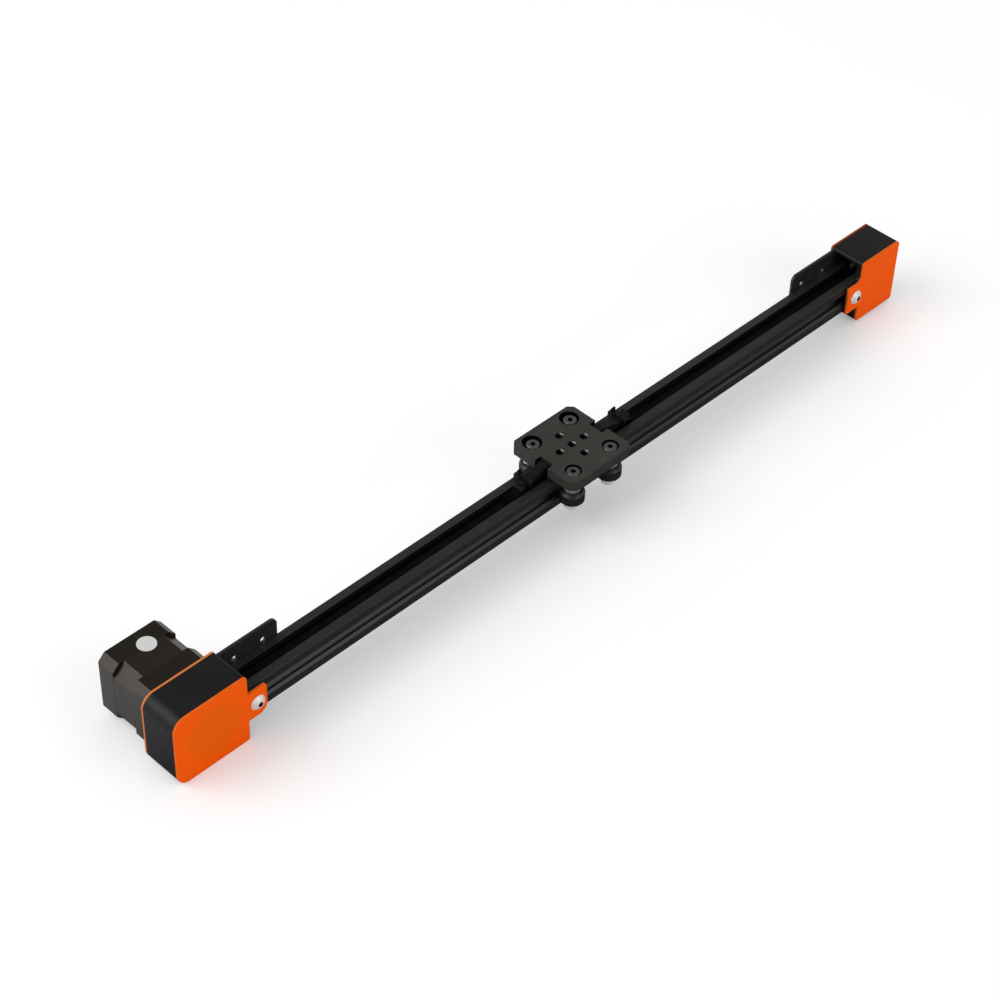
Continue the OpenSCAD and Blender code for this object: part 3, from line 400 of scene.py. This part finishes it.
def threaded(name, level):
    """Cut thread in a vertical hole, painted dark as shade, with a painted highlight near the
    mouth on the +X side.
    """
    s = Shader(name, grey(level), 0.35, Metallic=0.8)
    near_mouth = s.blend(s.part(s.place, "Z"), HIGHLIGHT_DEPTHS, 0, 1)
    on_side = s.blend(s.part(s.coordinates("Normal"), "X"), HIGHLIGHT_NORMALS, 0, 1)
    s.mottle(s.maths("MULTIPLY", near_mouth, on_side), grey(THREAD_SHADE), grey(level))
    s.uneven_gloss(s.noise(1200), 0.3, 0.4)
    s.relief(s.waves("Z", pitch=0.8 * MM), 0.3 * MM)
    return s.material


def rubber(name, level, shine=0.15):
    """Dull belt rubber with the faint weave of its cords."""
    s = Shader(name, grey(level), 0.6, Specular_IOR_Level=shine)
    s.mottle(s.noise(200), grey(level * 0.8), grey(level * 1.3))
    s.uneven_gloss(s.noise(800), 0.5, 0.68)
    s.relief(s.waves("Y", pitch=0.7 * MM), 0.02 * MM, strength=0.5)
    s.relief(s.noise(3000, detail=2), 0.01 * MM)
    return s.material


def paper(name, level):
    """A label's paper, left blank."""
    s = Shader(name, grey(level, warm=0.01), 0.45)
    s.mottle(s.noise(500), grey(level * 0.95, warm=0.01), grey(level, warm=0.01))
    s.relief(s.noise(2500, detail=2), 0.004 * MM)
    return s.material


pulley_low, pulley_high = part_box("drive_pulley")

MATERIALS = {
    "rail_black": black_anodised("rail_black", level=0.016, shine=0.6, drawn=True),
    "housing_black": satin_plastic("housing_black", level=0.0055, roughness=0.48, shine=0.33),
    "cover_orange": orange_sheet("cover_orange", ORANGE_IDLER, painted_glow=0.07, cast=0.75),
    "bracket_black": satin_plastic("bracket_black", level=0.018, roughness=0.38),
    "screw_steel": bare_metal("screw_steel", level=0.92, roughness=0.35, warm=0.05,
                              metallic=0.25),
    "motor_black": lacquer("motor_black", LACQUER_BLACK, roughness=0.32),
    "stator_black": lacquer("stator_black", STATOR_BLACK, roughness=0.34, laminated=True),
    "label_white": paper("label_white", level=0.62),
    "socket_white": satin_plastic("socket_white", level=0.72, roughness=0.45, warm=0.05),
    "belt_black": rubber("belt_black", level=0.003, shine=0.07),
    "carriage_black": black_anodised("carriage_black", level=0.031, shine=0.4, drawn=False),
    "wheel_black": satin_plastic("wheel_black", level=0.011, roughness=0.4),
    "spacer_alu": bare_metal("spacer_alu", level=0.75, roughness=0.35, turned=True,
                             metallic=0.6),
    "pulley_alu": bare_metal("pulley_alu", level=0.45, roughness=0.4),
    "bearing_steel": bare_metal("bearing_steel", level=0.45, roughness=0.35),
    "tie_black": satin_plastic("tie_black", level=0.004, roughness=0.3, shine=0.4),
}
COVER_FRONT = orange_sheet("cover_front", ORANGE, painted_glow=0.07,
                           shade_disc=((pulley_low + pulley_high) / 2, ORANGE_SHADE_DISC))
COVER_REAR = orange_sheet("cover_rear", ORANGE_IDLER, painted_glow=0.02, cast=0.3)
# Painted highlight and painted shade for the covers' narrow faces and rounded edges.
RIM_HIGHLIGHT = orange_sheet("rim", ORANGE_RIM_HIGHLIGHT, painted_glow=0.03)
PALE_RIM_HIGHLIGHT = orange_sheet("rim_pale", ORANGE_PALE_RIM_HIGHLIGHT, painted_glow=0.05, cast=0.3)
RIM_SHADE = orange_sheet("rim_dull", ORANGE_RIM_SHADE, cast=0.3)
EDGE_SHADE = orange_sheet("edge_shade", ORANGE_EDGE_SHADE, cast=0.3)
SCREW_GREY = bare_metal("screw_grey", level=0.26, roughness=0.45)
# Painted shade: near black, put on the screws' sockets, the plate's counterbores, the rail's top
# slot and the belt ends under the plate.
PAINTED_SHADE = satin_plastic("painted_shade", level=0.0015, roughness=0.7, shine=0.05)
THREAD = threaded("thread", level=0.45)
NUT_DARK = bare_metal("nut_dark", level=0.06, roughness=0.5)
BELT_END = rubber("belt_end", level=0.006)


# ---------------------------------------------------------------- faces to paint

def separate_solids(mesh):
    """The points of each solid in a mesh, as sets."""
    left = set(mesh.verts)
    while left:
        start = left.pop()
        solid, to_visit = {start}, [start]
        while to_visit:
            vert = to_visit.pop()
            neighbours = {e.other_vert(vert) for e in vert.link_edges} & left
            left -= neighbours
            solid |= neighbours
            to_visit += neighbours
        yield solid


def in_sockets(mesh):
    """The faces inside the hexagonal sockets of a node's screws."""
    found = set()
    for solid in separate_solids(mesh):
        low = Vector([min(v.co[i] for v in solid) for i in range(3)])
        high = Vector([max(v.co[i] for v in solid) for i in range(3)])
        size, centre = high - low, (low + high) / 2
        along = max(range(3), key=lambda i: size[i])
        inside = set()
        for vert in solid:
            off_axis = vert.co - centre
            off_axis[along] = 0
            if off_axis.length < SOCKET_FLATS / math.sqrt(3) + TOLERANCE:
                inside.add(vert)
        found |= {f for v in inside for f in v.link_faces if inside.issuperset(f.verts)}
    return found


def on_edge(mesh):
    """The narrow faces round a cover, which lies across Y."""
    return {f for f in mesh.faces if abs(f.normal.y) < 0.7}


def in_threads(mesh):
    """The walls of the carriage plate's five middle holes."""
    return {f for f in mesh.faces if abs(f.normal.z) < 0.3
            and f.calc_center_median().xy.length < HOLES_REACH}


def in_counterbores(mesh):
    """The walls and floors of the carriage plate's counterbores."""
    return {f for f in mesh.faces
            if any(abs(v.co.z + COUNTERBORE_DEPTH) < TOLERANCE for v in f.verts)}


def below_plate(mesh):
    """The faces of a belt end that lie under the carriage plate."""
    return {f for f in mesh.faces if f.calc_center_median().z < BELOW_PLATE}


def in_top_slot(mesh):
    """The faces of the rail's top slot, from the lips down, without the flat top."""
    top = max(v.co.z for v in mesh.verts)
    return {f for f in mesh.faces
            if abs(f.calc_center_median().y) < TOP_SLOT_HALF_WIDTH and f.normal.z < 0.95
            and f.calc_center_median().z > top - TOP_SLOT_REACH}


# ---------------------------------------------------------------- pieces from solids

def clean_mesh(node):
    """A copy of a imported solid's mesh, with flat stretches as single faces."""
    mesh = bmesh.new()
    mesh.from_mesh(NODES[node].data)
    bmesh.ops.remove_doubles(mesh, verts=mesh.verts, dist=SAME_POINT)
    bmesh.ops.dissolve_limit(mesh, angle_limit=FLAT_ANGLE, verts=mesh.verts, edges=mesh.edges,
                             use_dissolve_boundaries=False)
    return mesh


def round_edges(piece, width, material):
    """Rounds the sharp edges; the material is an index, or -1 for that of the faces beside."""
    edges = piece.modifiers.new("edges", "BEVEL")
    edges.width = width
    edges.segments = BEVEL_SEGMENTS
    edges.limit_method = "ANGLE"
    edges.angle_limit = SHARP_ANGLE
    edges.harden_normals = True
    edges.use_clamp_overlap = True
    edges.miter_outer = "MITER_ARC"
    edges.material = material


def finished(node, width, materials, painted=(), edge_material=-1):
    """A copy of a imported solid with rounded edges, which stands for the solid.

    The first material goes on the whole piece, the second on the faces that the first
    function in painted finds, and the third on those of the next one.
    """
    mesh = clean_mesh(node)
    paints = [find(mesh) for find in painted]
    for face in mesh.faces:
        face.smooth = True
        face.material_index = next((i for i, found in enumerate(paints, 1) if face in found), 0)
    data = bpy.data.meshes.new(f"{node}_finished")
    mesh.to_mesh(data)
    mesh.free()
    data.set_sharp_from_angle(angle=SHARP_ANGLE)
    for material in materials:
        data.materials.append(material)
    piece = bpy.data.objects.new(f"{node}_finished", data)
    bpy.context.scene.collection.objects.link(piece)
    if width:
        round_edges(piece, width, edge_material)
    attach(piece, BODY_OF[node])
    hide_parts(node)


# Widths of the rounded edges, in millimetres, of the pieces that have one material.
ROUNDED = {
    "motor_housing": 0.35, "idler_housing": 0.35,
    "switch_bracket_motor": 0.2, "switch_bracket_idler": 0.2,
    "motor_front_cap": 0.5, "motor_stator": 0.3, "motor_rear_cap": 0.8,
    "motor_connector": 0.15,
    "wheel_near_motor": 0.2, "wheel_near_idler": 0.2,
    "wheel_far_motor": 0.2, "wheel_far_idler": 0.2,
    "wheel_nuts": 0.15, "wheel_spacers": 0.15, "eccentric_spacers": 0.15,
    "wheel_shims": 0.1, "cable_ties": 0.12,
    "bracket_screws": 0.1, "idler_axle": 0.1, "motor_case_screws": 0.08,
}


def dress_plain_pieces():
    for node, width in ROUNDED.items():
        finished(node, width * MM, [MATERIALS[SLOT_OF[node]]])


def dress_covers():
    """The narrow faces and the rounded edges get painted light: a painted highlight on the front
    covers and the motor's rear cover, painted shade on the idler's rear cover and on the rear
    covers' rounded edges.
    """
    for node, rim in (("motor_plate_rear", PALE_RIM_HIGHLIGHT), ("idler_plate_rear", RIM_SHADE)):
        finished(node, REAR_COVER_BEVEL, [COVER_REAR, rim, EDGE_SHADE], [on_edge],
                 edge_material=2)
    for node, sheet in (("idler_cover_front", MATERIALS["cover_orange"]),
                        ("motor_cover_front", COVER_FRONT)):
        finished(node, COVER_BEVEL, [sheet, RIM_HIGHLIGHT], [on_edge], edge_material=1)


def dress_screws():
    """The sockets are painted dark, as painted shade."""
    finished("wheel_screws", SCREW_BEVEL, [SCREW_GREY, PAINTED_SHADE], [in_sockets])
    finished("tab_screws", TAB_SCREW_BEVEL, [MATERIALS["screw_steel"], PAINTED_SHADE], [in_sockets])


def dress_rail_and_carriage():
    """The top slot and the counterbores are painted dark, as painted shade; the threads are
    painted dark as shade, with a painted highlight.
    """
    finished("rail", RAIL_BEVEL, [MATERIALS["rail_black"], PAINTED_SHADE], [in_top_slot])
    finished("carriage_plate", PLATE_BEVEL, [MATERIALS["carriage_black"], THREAD, PAINTED_SHADE],
             [in_threads, in_counterbores])


# The belt ends are painted dark as shade where they lie under the carriage plate.
def dress_belt_ends():
    for node in ("belt_end_motor", "belt_end_idler"):
        finished(node, BELT_END_BEVEL, [BELT_END, PAINTED_SHADE], [below_plate])


def dress_inner_fasteners():
    for node in ("tee_nuts", "belt_pins"):
        finished(node, width=0, materials=[NUT_DARK])


def dress_packed_solids():
    """The solids that no copy stands for show themselves, in their slot's material."""
    for name, node in NODES.items():
        if not node.hide_render:
            node.data.materials.clear()
            node.data.materials.append(MATERIALS[SLOT_OF[name]])


# ---------------------------------------------------------------- floor and light

def floor_distance(graph, along, across):
    """The distance of a place on the floor from the measured line."""
    start, end = MEASURED_LINE
    nearest = graph.maths("MINIMUM", graph.maths("MAXIMUM", along, start), end)
    return graph.length(graph.maths("SUBTRACT", along, nearest), across)


def floor_material():
    """Matt and pale, with light of its own to the camera that changes with the place: painted
    shade on the near side of the rail, painted light on its far side and towards the idler end,
    so that its shade falls off softly. In reflections its tone is painted darker on the near
    side.
    """
    material = bpy.data.materials.new("floor")
    g = Graph(material)
    g.nodes.clear()
    place = g.coordinates("Object")
    along, across = g.part(place, "X"), g.part(place, "Y")
    distance = floor_distance(g, along, across)
    path = g.add("LightPath")

    beside_rail = g.blend(distance, SIDE_REACH, 1, 0, "SMOOTHSTEP")
    side_lift = g.blend(across, SIDES_SPAN, *PAINTED_SIDE_LIFTS, "SMOOTHSTEP")
    lift = g.maths("ADD", g.maths("MULTIPLY", beside_rail, side_lift),
                   g.blend(along, LIFT_SPAN, *FLOOR_LIFT))
    lift = g.maths("ADD", lift, g.blend(distance, FAR_SPAN, 0, FAR_LIFT, "SMOOTHSTEP"))
    to_camera = g.maths("MULTIPLY", lift, path.outputs["Is Camera Ray"])
    painted_glow = g.add("Emission")
    g.feed_all(painted_glow, Color=WHITE, Strength=to_camera)

    mirrored = g.blend(across, MIRRORED_SPAN, *MIRRORED_SIDES, "SMOOTHSTEP")
    matt = g.add("BsdfDiffuse")
    g.feed_all(matt, Color=g.mix(path.outputs["Is Glossy Ray"], FLOOR_TONE, mirrored))

    both = g.add("AddShader")
    g.feed(both.inputs[0], matt.outputs["BSDF"])
    g.feed(both.inputs[1], painted_glow.outputs["Emission"])
    g.feed_all(g.add("OutputMaterial"), Surface=both.outputs["Shader"])
    return material


def add_floor():
    """A pale floor that keeps the object's shadow and is white in the distance."""
    side, low = FLOOR_HALF_WIDTH, cad_low.z - FLOOR_GAP
    corners = [(-side, -side, low), (side, -side, low), (side, side, low), (-side, side, low)]
    data = bpy.data.meshes.new("floor")
    data.from_pydata(corners, [], [(0, 1, 2, 3)])
    data.materials.append(floor_material())
    floor = bpy.data.objects.new("floor", data)
    bpy.context.scene.collection.objects.link(floor)


def add_world():
    """Pale to the camera and as light; in reflections pale low down and dim overhead."""
    world = bpy.data.worlds.new("studio")
    bpy.context.scene.world = world
    g = Graph(world)
    g.nodes.clear()
    path = g.add("LightPath")
    height = g.part(g.coordinates("Generated"), "Z")

    plain = g.add("Background")
    g.feed_all(plain, Strength=WORLD_LIGHT)
    reflected = g.add("Background")
    g.feed_all(reflected, Strength=g.blend(height, CEILING_SPAN, 1, WORLD_CEILING, "SMOOTHSTEP"))
    seen = g.add("Background")

    shader = plain.outputs["Background"]
    for ray, other in (("Is Glossy Ray", reflected), ("Is Camera Ray", seen)):
        choice = g.add("MixShader")
        g.feed(choice.inputs["Fac"], path.outputs[ray])
        g.feed(choice.inputs[1], shader)
        g.feed(choice.inputs[2], other.outputs["Background"])
        shader = choice.outputs["Shader"]
    g.feed_all(g.add("OutputWorld"), Surface=shader)


def add_lamps():
    """Area lamps that shine on the origin."""
    for name, (place, size, watts) in LAMPS.items():
        data = bpy.data.lights.new(name, "AREA")
        data.shape = "RECTANGLE"
        data.size, data.size_y = size
        data.energy = watts
        lamp = bpy.data.objects.new(name, data)
        bpy.context.scene.collection.objects.link(lamp)
        lamp.location = place
        lamp.rotation_euler = (-Vector(place)).to_track_quat("-Z", "Y").to_euler()
        lamp.visible_camera = False


# ---------------------------------------------------------------- the scene

bpy.context.scene.view_settings.view_transform = "Standard"
add_camera()
dress_plain_pieces()
dress_covers()
dress_screws()
dress_rail_and_carriage()
dress_belt_ends()
dress_inner_fasteners()
dress_packed_solids()
add_floor()
add_world()
add_lamps()
